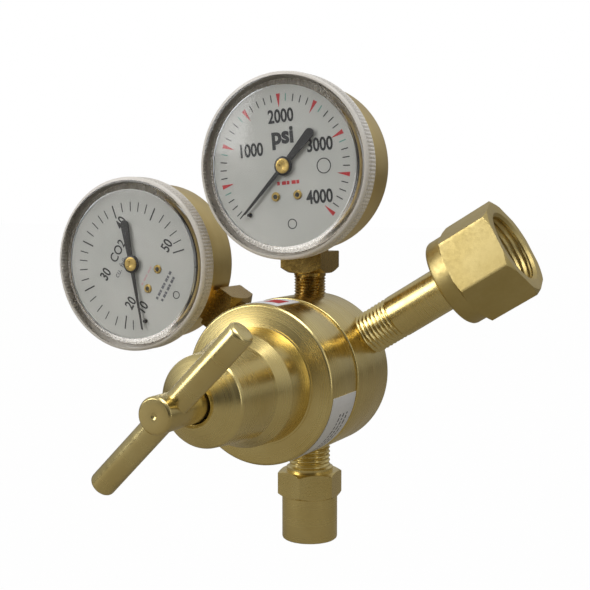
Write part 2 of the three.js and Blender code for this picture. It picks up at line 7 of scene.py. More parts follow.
import bmesh
import bpy
from mathutils import Matrix, Vector


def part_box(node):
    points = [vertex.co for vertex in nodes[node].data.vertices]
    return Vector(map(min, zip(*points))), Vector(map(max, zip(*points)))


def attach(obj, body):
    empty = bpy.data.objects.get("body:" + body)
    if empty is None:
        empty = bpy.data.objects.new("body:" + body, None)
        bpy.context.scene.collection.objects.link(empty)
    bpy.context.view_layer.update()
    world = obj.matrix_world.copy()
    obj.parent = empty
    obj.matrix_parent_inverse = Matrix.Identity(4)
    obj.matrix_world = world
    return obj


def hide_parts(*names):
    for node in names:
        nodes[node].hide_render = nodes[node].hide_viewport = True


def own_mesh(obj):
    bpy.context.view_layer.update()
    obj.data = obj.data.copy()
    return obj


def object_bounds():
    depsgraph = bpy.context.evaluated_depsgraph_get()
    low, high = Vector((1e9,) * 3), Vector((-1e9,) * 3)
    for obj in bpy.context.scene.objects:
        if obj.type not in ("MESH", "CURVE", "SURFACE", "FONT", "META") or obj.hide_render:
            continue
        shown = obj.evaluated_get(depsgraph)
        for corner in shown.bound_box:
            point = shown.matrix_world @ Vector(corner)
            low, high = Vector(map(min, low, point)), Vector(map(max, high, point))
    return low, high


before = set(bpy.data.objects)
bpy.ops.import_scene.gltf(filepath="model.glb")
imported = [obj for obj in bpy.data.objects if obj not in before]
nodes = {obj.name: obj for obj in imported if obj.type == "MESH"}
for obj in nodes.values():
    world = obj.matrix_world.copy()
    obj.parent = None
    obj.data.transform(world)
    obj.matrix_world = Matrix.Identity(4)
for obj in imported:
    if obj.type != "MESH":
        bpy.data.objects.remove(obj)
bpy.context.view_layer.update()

MM = 0.001
TAU = 2 * math.pi


# ---------------------------------------------------------------- places, taken from the frame

def middle(node):
    low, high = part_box(node)
    return (low + high) / 2


def frame_at(origin, x_axis, z_axis):
    """A matrix with its Z along z_axis and its X along x_axis."""
    z_axis = Vector(z_axis).normalized()
    x_axis = Vector(x_axis).normalized()
    y_axis = z_axis.cross(x_axis)
    turn = Matrix((x_axis, y_axis, z_axis)).transposed().to_4x4()
    return Matrix.Translation(origin) @ turn


FORWARD = Vector((0, -1, 0))
BACK_OF_PORTS = 9
bonnet_middle = middle("bonnet")
centre = Vector((bonnet_middle.x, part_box("body")[1].y - BACK_OF_PORTS * MM, bonnet_middle.z))
main_place = frame_at(centre, (1, 0, 0), FORWARD)
inlet_way = -Vector((centre.x, 0, centre.z)).normalized()
inlet_place = frame_at(centre, (0, 1, 0), inlet_way)
outlet_place = frame_at(centre, (0, 1, 0), (0, 0, -1))


def gauge_way(name):
    lens = middle(f"{name}_gauge_lens")
    return Vector((lens.x - centre.x, 0, lens.z - centre.z))


def dial_place(name, roll=0.0):
    """Local X is the dial's right, Y its top and Z towards the reader."""
    up = gauge_way(name)
    place = frame_at(centre + up, (up.z, 0, -up.x), FORWARD)
    return place @ Matrix.Rotation(math.radians(roll), 4, "Z")


def corner_turn(node, place):
    """The angle round a place's Z at which a hexagonal node has one of its corners."""
    inverse = place.inverted()
    points = [inverse @ vertex.co for vertex in nodes[node].data.vertices]
    furthest = max(points, key=lambda point: math.hypot(point.x, point.y))
    return math.atan2(furthest.y, furthest.x)


# ---------------------------------------------------------------- turned shapes

def eased(outline, size=0.2, steps=2):
    """The outline with each corner off the axis rounded a little."""
    closed = outline[0][0] > 0
    count = len(outline)
    points = []
    for index, corner in enumerate(outline):
        if not closed and index in (0, count - 1):
            points.append(corner)
            continue
        before = Vector(outline[index - 1])
        after = Vector(outline[(index + 1) % count])
        here = Vector(corner)
        back, ahead = before - here, after - here
        reach = min(size, back.length * 0.4, ahead.length * 0.4)
        if back.angle(ahead, 0) > math.radians(176):
            points.append(corner)
            continue
        start, end = here + back.normalized() * reach, here + ahead.normalized() * reach
        for step in range(steps + 1):
            t = step / steps
            points.append(tuple(start * (1 - t) ** 2 + here * (2 * t * (1 - t)) + end * t ** 2))
    return points


def run(radius, start, end, step=0.16):
    """Closely spaced points along a cylinder, for a thread or a chamfered hexagon."""
    count = max(1, round(abs(end - start) / step))
    return [(radius, start + (end - start) * i / count) for i in range(count + 1)]


def revolve(outline, around=144, radius_at=None, first_turn=0.0):
    """A bmesh turned about Z from (radius, height) points, with an optional change of radius."""
    mesh = bmesh.new()
    rings = []
    for radius, height in outline:
        if radius < 1e-6:
            rings.append([mesh.verts.new((0, 0, height * MM))])
            continue
        ring = []
        for index in range(around):
            angle = first_turn + TAU * index / around
            size = radius_at(angle, radius, height) if radius_at else radius
            out = size * MM
            ring.append(mesh.verts.new((out * math.cos(angle), out * math.sin(angle), height * MM)))
        rings.append(ring)
    pairs = list(zip(rings, rings[1:]))
    if outline[0][0] > 1e-6:
        pairs.append((rings[-1], rings[0]))
    for lower, upper in pairs:
        for index in range(around):
            following = (index + 1) % around
            if len(lower) == 1 and len(upper) == 1:
                break
            if len(lower) == 1:
                mesh.faces.new((lower[0], upper[index], upper[following]))
            elif len(upper) == 1:
                mesh.faces.new((lower[index], lower[following], upper[0]))
            else:
                mesh.faces.new((lower[index], lower[following], upper[following], upper[index]))
    bmesh.ops.recalc_face_normals(mesh, faces=mesh.faces)
    return mesh


def thread(start, end, pitch, depth):
    """A helical V groove between two heights, fading out at its ends."""
    def radius_at(angle, radius, height):
        if not start <= height <= end:
            return radius
        phase = (height / pitch - angle / TAU) % 1
        groove = 1 - abs(2 * phase - 1)
        fade = min(1, (height - start) / pitch, (end - height) / (0.5 * pitch))
        return radius - depth * min(1, 1.25 * groove) * max(0, fade)
    return radius_at


def flats(count, flat_radius, corner, start, end):
    """Flats milled on a round bar between two heights."""
    def radius_at(angle, radius, height):
        if not start <= height <= end:
            return radius
        share = TAU / count
        turn = (angle - corner) % share - share / 2
        return min(radius, flat_radius / math.cos(turn))
    return radius_at


def finish_mesh(name, mesh, place, material, body, replaces=(), sharp=32):
    """Puts a mesh in its place. Its own coordinates stay with it, for the marks of the lathe."""
    data = bpy.data.meshes.new(name)
    mesh.to_mesh(data)
    mesh.free()
    own = [value for vertex in data.vertices for value in vertex.co]
    data.attributes.new("own_place", "FLOAT_VECTOR", "POINT").data.foreach_set("vector", own)
    data.transform(place)
    for polygon in data.polygons:
        polygon.use_smooth = True
    data.set_sharp_from_angle(angle=math.radians(sharp))
    data.materials.append(material)
    piece = bpy.data.objects.new(name, data)
    bpy.context.scene.collection.objects.link(piece)
    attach(piece, body)
    if replaces:
        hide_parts(*replaces)
    return piece


def prism(outline, low, high):
    """A bmesh of a flat outline in X and Y, from one height to another."""
    mesh = bmesh.new()
    lower = [mesh.verts.new((x * MM, y * MM, low * MM)) for x, y in outline]
    upper = [mesh.verts.new((x * MM, y * MM, high * MM)) for x, y in outline]
    mesh.faces.new(lower)
    mesh.faces.new(upper)
    for index in range(len(outline)):
        following = (index + 1) % len(outline)
        mesh.faces.new((lower[index], lower[following], upper[following], upper[index]))
    bmesh.ops.recalc_face_normals(mesh, faces=mesh.faces)
    return mesh


def merged(meshes):
    whole = bmesh.new()
    for mesh in meshes:
        data = bpy.data.meshes.new("part")
        mesh.to_mesh(data)
        mesh.free()
        whole.from_mesh(data)
        bpy.data.meshes.remove(data)
    return whole


# ---------------------------------------------------------------- finishes

def new_group(name, inputs, outputs):
    group = bpy.data.node_groups.new(name, "ShaderNodeTree")
    for label, kind, value in inputs:
        socket = group.interface.new_socket(label, in_out="INPUT", socket_type=kind)
        if value is not None:
            socket.default_value = value
    for label, kind in outputs:
        group.interface.new_socket(label, in_out="OUTPUT", socket_type=kind)
    return group, group.nodes.new("NodeGroupInput"), group.nodes.new("NodeGroupOutput")


def add(tree, kind, values=None, **settings):
    node = tree.nodes.new(kind)
    for key, value in settings.items():
        setattr(node, key, value)
    for socket, value in (values or {}).items():
        if isinstance(value, bpy.types.NodeSocket):
            tree.links.new(value, node.inputs[socket])
        else:
            node.inputs[socket].default_value = value
    return node


def make_turning_group():
    """Fine rings left by the lathe, running round local Z on cylinders and faces alike."""
    group, given, result = new_group(
        "turning_marks",
        [("Scale", "NodeSocketFloat", 900.0), ("Streaks", "NodeSocketFloat", 0.5)],
        [("Height", "NodeSocketFloat"), ("Mask", "NodeSocketFloat")],
    )
    place = add(group, "ShaderNodeAttribute", attribute_name="own_place")
    split = add(group, "ShaderNodeSeparateXYZ", {0: place.outputs["Vector"]})
    flat = add(group, "ShaderNodeCombineXYZ", {0: split.outputs[0], 1: split.outputs[1]})
    radius = add(group, "ShaderNodeVectorMath", {0: flat.outputs[0]}, operation="LENGTH")
    rings = add(group, "ShaderNodeCombineXYZ", {0: radius.outputs["Value"], 2: split.outputs[2]})
    fine = add(group, "ShaderNodeTexNoise", {
        "Vector": rings.outputs[0], "Scale": given.outputs["Scale"], "Detail": 3.0, "Roughness": 0.7})
    coarse = add(group, "ShaderNodeTexNoise", {
        "Vector": rings.outputs[0], "Scale": 260.0, "Detail": 2.0})
    worn = add(group, "ShaderNodeTexNoise", {
        "Vector": place.outputs["Vector"], "Scale": 70.0, "Detail": 4.0, "Roughness": 0.6})
    height = add(group, "ShaderNodeMix", {
        0: given.outputs["Streaks"], 2: fine.outputs[0], 3: coarse.outputs[0]}, data_type="FLOAT")
    mask = add(group, "ShaderNodeMath", {0: coarse.outputs[0], 1: worn.outputs[0]}, operation="MULTIPLY")
    group.links.new(height.outputs[0], result.inputs["Height"])
    group.links.new(mask.outputs[0], result.inputs["Mask"])
    return group


def make_mottle_group():
    """Cloudy change over a surface, with small specks."""
    group, given, result = new_group(
        "mottle",
        [("Cloud", "NodeSocketFloat", 60.0), ("Speck", "NodeSocketFloat", 1400.0)],
        [("Cloud", "NodeSocketFloat"), ("Speck", "NodeSocketFloat")],
    )
    place = add(group, "ShaderNodeTexCoord")
    cloud = add(group, "ShaderNodeTexNoise", {
        "Vector": place.outputs["Object"], "Scale": given.outputs["Cloud"], "Detail": 4.0})
    speck = add(group, "ShaderNodeTexNoise", {
        "Vector": place.outputs["Object"], "Scale": given.outputs["Speck"], "Detail": 2.0})
    group.links.new(cloud.outputs[0], result.inputs["Cloud"])
    group.links.new(speck.outputs[0], result.inputs["Speck"])
    return group


turning_group = make_turning_group()
mottle_group = make_mottle_group()


def new_material(name):
    material = bpy.data.materials.new(name)
    material.use_nodes = True
    tree = material.node_tree
    shader = tree.nodes["Principled BSDF"]
    return material, tree, shader


def ramp(tree, factor, low_place, high_place, low_colour, high_colour):
    node = add(tree, "ShaderNodeValToRGB", {0: factor})
    node.color_ramp.elements[0].position = low_place
    node.color_ramp.elements[1].position = high_place
    node.color_ramp.elements[0].color = (*low_colour, 1)
    node.color_ramp.elements[1].color = (*high_colour, 1)
    return node.outputs[0]


def between(tree, factor, low, high):
    return add(tree, "ShaderNodeMapRange", {0: factor, 1: 0.3, 2: 0.7, 3: low, 4: high}).outputs[0]


def turned_brass(name, pale, deep, roughness, depth=0.00004, scale=900.0):
    """Brass off the lathe: rings, a slight tarnish and a roughness that follows the rings."""
    material, tree, shader = new_material(name)
    turning = add(tree, "ShaderNodeGroup", node_tree=turning_group)
    turning.inputs["Scale"].default_value = scale
    mottle = add(tree, "ShaderNodeGroup", node_tree=mottle_group)
    colour = ramp(tree, mottle.outputs["Cloud"], 0.35, 0.68, deep, pale)
    bump = add(tree, "ShaderNodeBump", {
        "Height": turning.outputs["Height"], "Strength": 0.5, "Distance": depth})
    rough = between(tree, turning.outputs["Height"], roughness - 0.07, roughness + 0.09)
    tree.links.new(colour, shader.inputs["Base Color"])
    tree.links.new(rough, shader.inputs["Roughness"])
    tree.links.new(bump.outputs[0], shader.inputs["Normal"])
    shader.inputs["Metallic"].default_value = 1.0
    return material


def cast_metal(name, pale, deep, roughness, metallic=1.0, depth=0.00003, speck=900.0):
    """Metal with an even satin grain, for pieces that show no rings."""
    material, tree, shader = new_material(name)
    mottle = add(tree, "ShaderNodeGroup", node_tree=mottle_group)
    mottle.inputs["Speck"].default_value = speck
    colour = ramp(tree, mottle.outputs["Cloud"], 0.35, 0.68, deep, pale)
    bump = add(tree, "ShaderNodeBump", {
        "Height": mottle.outputs["Speck"], "Strength": 0.4, "Distance": depth})
    rough = between(tree, mottle.outputs["Speck"], roughness - 0.05, roughness + 0.08)
    tree.links.new(colour, shader.inputs["Base Color"])
    tree.links.new(rough, shader.inputs["Roughness"])
    tree.links.new(bump.outputs[0], shader.inputs["Normal"])
    shader.inputs["Metallic"].default_value = metallic
    return material


def smooth_plastic(name, pale, deep, roughness, speck=1500.0, depth=0.00001):
    return cast_metal(name, pale, deep, roughness, metallic=0.0, depth=depth, speck=speck)


def clear_plastic(name, tint, roughness):
    """Moulded window plastic. Shadow rays pass, so that the dial behind it is lit."""
    material, tree, shader = new_material(name)
    mottle = add(tree, "ShaderNodeGroup", node_tree=mottle_group)
    colour = ramp(tree, mottle.outputs["Cloud"], 0.3, 0.7, tint, (1, 1, 1))
    rough = between(tree, mottle.outputs["Cloud"], roughness, roughness + 0.03)
    tree.links.new(colour, shader.inputs["Base Color"])
    tree.links.new(rough, shader.inputs["Roughness"])
    shader.inputs["Metallic"].default_value = 0.0
    shader.inputs["Transmission Weight"].default_value = 1.0
    shader.inputs["IOR"].default_value = 1.49
    path = add(tree, "ShaderNodeLightPath")
    clear = add(tree, "ShaderNodeBsdfTransparent")
    mix = add(tree, "ShaderNodeMixShader", {
        0: path.outputs["Is Shadow Ray"], 1: shader.outputs[0], 2: clear.outputs[0]})
    tree.links.new(mix.outputs[0], tree.nodes["Material Output"].inputs["Surface"])
    return material


brass = turned_brass("turned_brass", (0.80, 0.66, 0.30), (0.70, 0.55, 0.22), 0.25)
bar_brass = turned_brass("bar_brass", (0.80, 0.67, 0.32), (0.70, 0.56, 0.24), 0.23, scale=700.0)
nut_brass = cast_metal("nut_brass", (0.62, 0.50, 0.22), (0.54, 0.42, 0.16), 0.40, depth=0.000004)
socket_brass = cast_metal("socket_brass", (0.45, 0.31, 0.10), (0.34, 0.22, 0.06), 0.25, depth=0.000006)
hub_brass = cast_metal("hub_brass", (0.62, 0.45, 0.16), (0.52, 0.36, 0.11), 0.3, depth=0.000006)
hidden_brass = cast_metal("hidden_brass", (0.66, 0.52, 0.23), (0.56, 0.42, 0.17), 0.33, depth=0.000006)
case_brass = turned_brass("case_brass", (0.74, 0.58, 0.26), (0.62, 0.47, 0.19), 0.33, scale=1400.0)
steel = cast_metal("satin_steel", (0.62, 0.64, 0.66), (0.48, 0.49, 0.51), 0.32)
rubber = smooth_plastic("diaphragm_rubber", (0.035, 0.035, 0.036), (0.02, 0.02, 0.02), 0.7)
nylon = smooth_plastic("washer_nylon", (0.86, 0.84, 0.78), (0.78, 0.75, 0.68), 0.55)
sticker_film = smooth_plastic("sticker_film", (0.86, 0.86, 0.87), (0.76, 0.77, 0.79), 0.35)
dial_paint = smooth_plastic("dial_paint", (0.49, 0.49, 0.46), (0.45, 0.45, 0.42), 0.55)
black_paint = smooth_plastic("black_paint", (0.022, 0.020, 0.020), (0.012, 0.011, 0.011), 0.38)
print_black = smooth_plastic("print_black", (0.035, 0.035, 0.04), (0.02, 0.02, 0.02), 0.6)
print_red = smooth_plastic("print_red", (0.52, 0.03, 0.035), (0.40, 0.02, 0.025), 0.6)
print_green = smooth_plastic("print_green", (0.12, 0.32, 0.26), (0.08, 0.25, 0.2), 0.6)
print_grey = smooth_plastic("print_grey", (0.16, 0.16, 0.18), (0.11, 0.11, 0.12), 0.6)
print_pink = smooth_plastic("print_pink", (0.56, 0.36, 0.36), (0.50, 0.33, 0.33), 0.6)
lens_clear = clear_plastic("lens_clear", (0.96, 0.97, 0.97), 0.03)
lens_frost = smooth_plastic("lens_frost", (0.82, 0.79, 0.74), (0.72, 0.68, 0.62), 0.25)
# rim_shadow is painted shade: dark discs and rings put where recesses and gaps fall into shade.
rim_shadow = smooth_plastic("rim_shadow", (0.05, 0.045, 0.04), (0.03, 0.03, 0.03), 0.3)


# ---------------------------------------------------------------- body and bonnet

SHOULDER = 17.5
SPIGOT_FRONT = 28
BODY_RADIUS = 24.96
BONNET_RADIUS = 24.48


def make_body():
    outline = eased([
        (0, -4.5), (4.6, -3), (4.6, 12), (6.3, 12), (6.3, 24), (16, 24), (16, SPIGOT_FRONT),
        (20.2, SPIGOT_FRONT), (21, SPIGOT_FRONT - 0.8), (21, SHOULDER), (BODY_RADIUS - 0.35, SHOULDER),
        (BODY_RADIUS, SHOULDER - 0.35), (BODY_RADIUS, -6.1), (BODY_RADIUS - 2.9, -9),
        (9.5, -9), (9.2, -8.6), (4, -8.6), (3.6, -9), (0, -9),
    ])
    finish_mesh("turned_body", revolve(outline, 192), main_place, brass, "regulator", ["body"])


def make_bonnet():
    outline = eased([
        (21.3, SHOULDER + 0.3), (BONNET_RADIUS - 0.4, SHOULDER + 0.3), (BONNET_RADIUS, SHOULDER + 0.7),
        (BONNET_RADIUS, 35.3), (BONNET_RADIUS - 0.6, 35.9), (18.1, 35.9), (18.1, 36.2), (17.5, 36.2),
        (17.0, 46.6), (14.5, 50.9), (13.1, 67.8), (12.6, 68.6), (6.7, 73), (5.5, 73), (5.5, 67.4),
        (5.0, 67), (5.0, 60), (11.6, 60), (11.6, 50.9), (14, 46.6), (14, 30.5), (21.3, 30.5),
    ])
    finish_mesh("turned_bonnet", revolve(outline, 192), main_place, brass, "regulator", ["bonnet"])


def make_screw():
    outline = eased([
        (0, 59.3), (3.3, 59.3), (4.7, 60.5), *run(4.7, 61, 72.2), (5.1, 72.6), (5.1, 91.3),
        (4.5, 91.9), (0.9, 91.9), (0, 91.2),
    ], 0.1)
    mesh = revolve(outline, 96, thread(60.6, 72.2, 1.5875, 0.75))
    finish_mesh("screw_turned", mesh, main_place, bar_brass, "handle", ["adjusting_screw"])


def make_bar():
    half, radius, rounding = 31.6, 3.69, 1.4
    outline = [(0, -half)]
    for end in (-1, 1):
        for step in range(7):
            angle = math.radians(90 * step / 6) if end < 0 else math.radians(90 - 90 * step / 6)
            out = radius - rounding + rounding * math.sin(angle)
            outline.append((out, end * (half - rounding + rounding * math.cos(angle))))
    outline.append((0, half))
    place = frame_at(middle("t_bar"), (0, 1, 0), bar_way())
    finish_mesh("cross_bar", revolve(outline, 96), place, bar_brass, "handle", ["t_bar"])


def bar_way():
    """The direction of the T-bar, from its two furthest ends."""
    points = [vertex.co for vertex in nodes["t_bar"].data.vertices]
    top = max(points, key=lambda point: point.x + point.z)
    way = top - middle("t_bar")
    return Vector((way.x, 0, way.z))


# ---------------------------------------------------------------- inlet and outlet

NUT_START, NUT_HEX, NUT_END = 56.5, 62.15, 79.7


def make_nipple():
    outline = eased([
        (3.2, 13.5), (6.3, 13.5), (6.9, 14.6), *run(6.9, 18, 36.5), (6.9, 62), (10.2, 62),
        (10.2, 65.5), (9.7, 66), (3.2, 66),
    ], 0.12)
    mesh = revolve(outline, 120, thread(18, 36.2, 1.411, 0.62))
    finish_mesh("nipple_threaded", mesh, inlet_place, brass, "regulator", ["inlet_nipple"])


def make_nut():
    corner = corner_turn("inlet_nut", inlet_place)
    flat_radius = 16.5 * math.cos(math.pi / 6)
    milled = flats(6, flat_radius, corner, NUT_HEX, NUT_END)
    screwed = thread(NUT_HEX + 1.2, NUT_END - 0.9, 1.814, -0.55)

    def radius_at(angle, radius, height):
        if radius > 13:
            return milled(angle, radius, height)
        return screwed(angle, radius, height) if radius > 10 else radius

    outline = [
        (7.4, NUT_START), (13.1, NUT_START), (13.6, NUT_START + 0.2), (14.0, NUT_START + 0.6),
        (14.2, NUT_START + 1.2),
        (14.2, NUT_HEX - 0.05), (14.75, NUT_HEX), (14.9, NUT_HEX + 0.02),
        *[(14.9 + 1.5 * step / 10, NUT_HEX + 0.02 + 0.87 * step / 10) for step in range(1, 11)],
        *[(16.4 - 1.5 * step / 12, NUT_END - 0.95 + 0.9 * step / 12) for step in range(0, 13)],
        (14.8, NUT_END), (11.8, NUT_END), (11.5, NUT_END - 0.1), (10.75, NUT_END - 0.85),
        *run(10.7, NUT_END - 0.9, NUT_HEX, 0.2), (10.7, NUT_HEX - 0.45), (7.4, NUT_HEX - 0.45),
    ]
    mesh = revolve(outline, 240, radius_at, corner)
    finish_mesh("swivel_nut", mesh, inlet_place, nut_brass, "nut", ["inlet_nut"], sharp=25)


def make_outlet():
    corner = corner_turn("outlet_fitting", outlet_place)
    start, end, sleeve_end = 33.2, 41.6, 55.9
    flat_radius = 10.8 * math.cos(math.pi / 6)
    milled = flats(6, flat_radius, corner, start, end)
    neck = thread(18, 31.4, 1.411, 0.5)
    bore = thread(44.2, sleeve_end - 0.5, 1.411, -0.5)

    def radius_at(angle, radius, height):
        if start <= height <= end and radius > 8:
            return milled(angle, radius, height)
        if height < start:
            return neck(angle, radius, height)
        return bore(angle, radius, height) if 7 < radius < 7.4 else radius

    rise = flat_radius - 0.1
    outline = [
        (2.5, 13.5), (6.2, 13.5), (6.7, 14.2), *run(6.7, 18, 31.4), (6.7, 31.6), (7.6, 32),
        (7.6, start - 0.02),
        (rise, start), *[(rise + 1.4 * step / 8, start + 0.8 * step / 8) for step in range(1, 9)],
        *[(rise + 1.4 - 1.4 * step / 8, end - 0.8 + 0.8 * step / 8) for step in range(0, 9)],
        (9.07, end + 0.02), (9.07, sleeve_end - 0.7), (8.95, sleeve_end - 0.3), (8.6, sleeve_end),
        (7.8, sleeve_end), (7.25, sleeve_end - 0.55), *run(7.2, sleeve_end - 0.6, 44.0), (2.5, 40.6),
    ]
    mesh = revolve(outline, 240, radius_at, corner)
    finish_mesh("outlet_turned", mesh, outlet_place, brass, "regulator",
                ["outlet_fitting"], sharp=25)


# ---------------------------------------------------------------- stickers on the bonnet

def curved_strip(name, angles, heights, lift, material):
    """A thin strip on the bonnet between two angles and two heights along its axis."""
    mesh = bmesh.new()
    inner, outer = BONNET_RADIUS + 0.03, BONNET_RADIUS + lift
    steps = max(2, round(abs(angles[1] - angles[0]) / 2))
    rings = []
    for step in range(steps + 1):
        angle = math.radians(angles[0] + (angles[1] - angles[0]) * step / steps)
        ring = [(inner, heights[0]), (outer, heights[0]), (outer, heights[1]), (inner, heights[1])]
        across, up = MM * math.cos(angle), MM * math.sin(angle)
        rings.append([mesh.verts.new((r * across, r * up, h * MM)) for r, h in ring])
    for lower, upper in zip(rings, rings[1:]):
        for index in range(4):
            following = (index + 1) % 4
            mesh.faces.new((lower[index], lower[following], upper[following], upper[index]))
    mesh.faces.new(rings[0])
    mesh.faces.new(rings[-1])
    bmesh.ops.recalc_face_normals(mesh, faces=mesh.faces)
    return finish_mesh(name, mesh, main_place, material, "regulator")


def make_stickers():
    """Plain films, with bars that say nothing where a maker would print."""
    for name in ("label_top", "label_side"):
        paint_node(name, sticker_film)
    curved_strip("label_top_band", (80, 92), (23.5, 30.5), 0.2, print_red)
    for row, height in enumerate((21.6, 24.1, 26.6)):
        angle = -20.0
        index = 0
        while angle > -60:
            length = 1.6 + 1.9 * ((index * 7 + row * 3) % 5) / 4
            strip = (angle - length, angle)
            curved_strip(f"label_side_bar_{row}_{index}", strip, (height, height + 0.75), 0.19, print_grey)
            angle -= length + 1.1
            index += 1


# ---------------------------------------------------------------- gauges

CASE_RADIUS = 26.5
LENS_RADIUS = 28.89
DIAL_FRONT = 17.9
FROST_START = 27.2
SKIRT_START = 26
SKIRT_TOP = 17.6
NEEDLE_REACH = 22.3


def make_case(name):
    outline = eased([
        (0, -4), (20.5, -4), (23.5, -4), (24.65, -3.77), (25.62, -3.12), (26.27, -2.15), (CASE_RADIUS, -1),
        (CASE_RADIUS, 16.9), (25.6, 16.9), (25.6, -0.9), (24.98, -2.4), (23.5, -3.1), (0, -3.1),
    ], 0.15)
    finish_mesh(f"{name}_case_spun", revolve(outline, 180), dial_place(name), case_brass, "regulator",
                [f"{name}_gauge_case"])


def make_socket(name):
    way = gauge_way(name)
    reach = way.length / MM
    place = frame_at(centre, (0, 1, 0), way)
    half, start, top = 7.15, 31.8, reach - 26.9
    block = flats(4, half, math.radians(45), start + 0.01, top)
    screwed = thread(18, 31.0, 0.94, 0.42)

    def radius_at(angle, radius, height):
        return block(angle, radius, height) if height > start else screwed(angle, radius, height)

    outline = [
        (0, 13.6), (4.5, 13.6), (5.15, 14.6), *run(5.15, 18, 31.1, 0.12), (5.15, start),
        (half - 0.2, start), (half - 0.05, start + 0.02),
        *[(half + 2.9 * step / 12, start + 0.02 + 1.7 * step / 12) for step in range(1, 13)],
        (10.05, top - 0.2), (9.8, top), (0, top),
    ]
    neck = prism([(-2.4, -5.5), (7, -5.5), (7, 5.5), (-2.4, 5.5)], top - 0.2, reach - 11)
    bmesh.ops.transform(neck, matrix=Matrix.Scale(-1, 4, (1, 0, 0)), verts=neck.verts)
    bmesh.ops.recalc_face_normals(neck, faces=neck.faces)
    mesh = merged([revolve(outline, 192, radius_at, math.radians(45)), neck])
    finish_mesh(f"{name}_socket_milled", mesh, place, socket_brass, "regulator",
                [f"{name}_gauge_socket"], sharp=28)


def make_lens(name):
    ribs = 150

    def radius_at(angle, radius, height):
        if radius < LENS_RADIUS - 0.5 or not 14.6 <= height <= 19.3:
            return radius
        wave = 0.5 + 0.5 * math.cos(angle * ribs)
        return radius - 0.30 * (1 - wave)

    outline = [
        (0, 20.2), (24.6, 20.2), (25.0, 20.24), (25.5, 20.5), (25.9, 20.6), (27.8, 20.6), (28.3, 20.5),
        (28.65, 20.25), (28.85, 19.9), (LENS_RADIUS, 19.5), (LENS_RADIUS, 19.35), (LENS_RADIUS, 19.2),
        (LENS_RADIUS, 14.8), (LENS_RADIUS, 14.55), (28.7, 14.45), (26.8, 14.45), (26.8, 17.5),
        (24.9, 19.4), (0, 19.4),
    ]
    mesh = revolve(outline, ribs * 4, radius_at)
    lens = finish_mesh(f"{name}_lens_moulded", mesh, dial_place(name), lens_clear, "regulator",
                       [f"{name}_gauge_lens"], sharp=40)
    lens.data.materials.append(lens_frost)
    own = lens.data.attributes["own_place"].data
    for polygon in lens.data.polygons:
        points = [own[index].vector / MM for index in polygon.vertices]
        reach = sum(math.hypot(point.x, point.y) for point in points) / len(points)
        height = sum(point.z for point in points) / len(points)
        if reach > FROST_START or reach > SKIRT_START and height < SKIRT_TOP:
            polygon.material_index = 1


def polar(radius, degrees):
    """A point of a dial, with the angle clockwise from its top."""
    angle = math.radians(degrees)
    return Vector((radius * math.sin(angle), radius * math.cos(angle)))


def mark(start, end, degrees, start_width, end_width):
    """The outline of one tick or wedge between two radii."""
    out = polar(1, degrees)
    side = Vector((out.y, -out.x))
    corners = [(start, -start_width), (start, start_width), (end, end_width), (end, -end_width)]
    return [out * radius + side * width / 2 for radius, width in corners]


def print_marks(name, outlines, place, material):
    low, high = DIAL_FRONT + 0.02, DIAL_FRONT + 0.06
    mesh = merged([prism(outline, low, high) for outline in outlines])
    finish_mesh(name, mesh, place, material, "regulator")


def print_word(name, word, point, size, place, material, turn=0.0, weight=0.0, narrow=1.0):
    curve = bpy.data.curves.new(name, "FONT")
    curve.body = word
    curve.size = size * MM
    curve.align_x = "CENTER"
    curve.align_y = "CENTER"
    curve.extrude = 0.02 * MM
    curve.offset = weight * MM
    curve.resolution_u = 4
    curve.materials.append(material)
    piece = bpy.data.objects.new(name, curve)
    bpy.context.scene.collection.objects.link(piece)
    shift = Matrix.Translation((point[0] * MM, point[1] * MM, (DIAL_FRONT + 0.05) * MM))
    squeeze = Matrix.Scale(narrow, 4, (1, 0, 0))
    piece.matrix_world = place @ shift @ Matrix.Rotation(math.radians(turn), 4, "Z") @ squeeze
    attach(piece, "regulator")
    return piece


def print_bars(name, rows, place, material):
    """Rows of short bars that say nothing, each (middle x, middle y, width, height, count)."""
    outlines = []
    for x, y, width, height, count in rows:
        step = width / count
        for index in range(count):
            left = x - width / 2 + index * step
            right = left + step * (0.55 + 0.3 * (index % 2))
            low, high = y - height / 2, y + height / 2
            outlines.append([(left, low), (right, low), (right, high), (left, high)])
    print_marks(name, outlines, place, material)


def print_ring(name, point, radius, width, place, material):
    low, high = DIAL_FRONT + 0.02, DIAL_FRONT + 0.06
    mesh = revolve([(radius - width, low), (radius, low), (radius, high), (radius - width, high)], 48)
    bmesh.ops.translate(mesh, vec=(point[0] * MM, point[1] * MM, 0), verts=mesh.verts)
    finish_mesh(name, mesh, place, material, "regulator")


